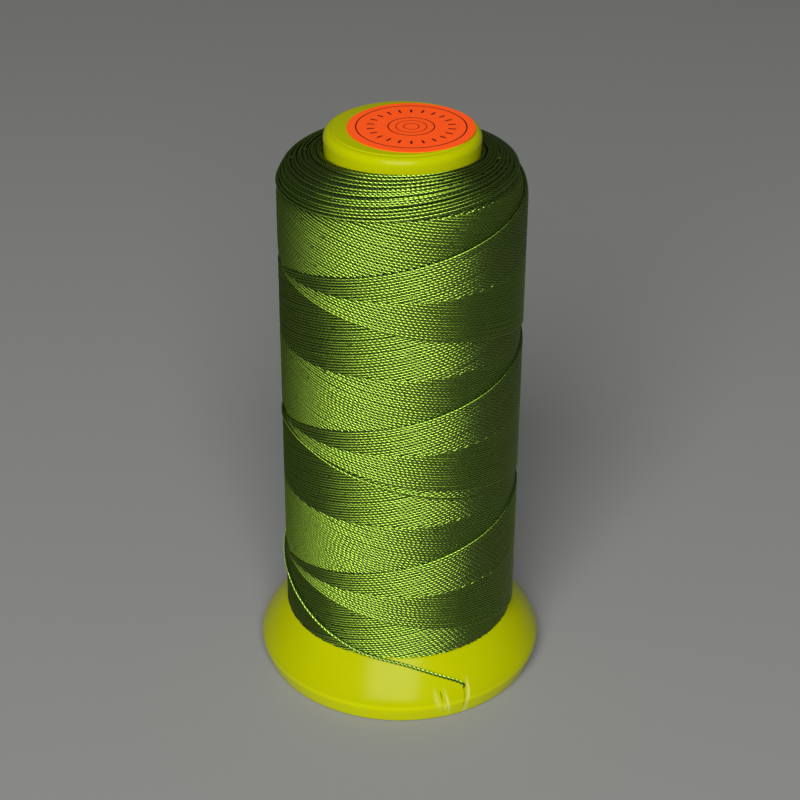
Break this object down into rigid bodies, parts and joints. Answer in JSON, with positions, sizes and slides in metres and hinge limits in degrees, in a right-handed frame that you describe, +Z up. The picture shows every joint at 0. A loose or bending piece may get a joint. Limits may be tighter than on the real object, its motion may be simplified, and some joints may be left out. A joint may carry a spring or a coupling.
{
  "type": "fishing line spool",
  "caption": "Upright spool of twisted line on a bell-shaped foot, with a pressed-in cap, a paper label and the free end held in a slit beside a bending tongue.",
  "frame": {"origin": "on the spool's axis, at the underside of the foot", "axes": "+Z up along the spool's axis, -Y towards the front, where the line's free end crosses the foot"},
  "size_m": [0.0522, 0.0522, 0.1053],
  "materials": {
    "lime_plastic": "moulded, slightly translucent, soft gloss",
    "label_paper": "coated self-adhesive paper",
    "twisted_line": "twisted nylon with a silky shine"
  },
  "bodies": {
    "spool": {"foot_flange": "lime_plastic", "barrel_tube": "lime_plastic", "top_cap": "lime_plastic", "paper_label": "label_paper", "wound_line_core": "twisted_line", "wound_line_outer": "twisted_line", "line_tail": "twisted_line"},
    "line_catch": {"catch_tongue": "lime_plastic"}
  },
  "joints": [
    {"name": "tongue_flex", "type": "hinge", "parent": "spool", "child": "line_catch", "pos_m": [0.00995, -0.02326, 0.0056], "axis": [-0.9195, -0.3931, 0], "range_deg": [0, 5], "stiffness_Nm_per_rad": 0.66}
  ]
}
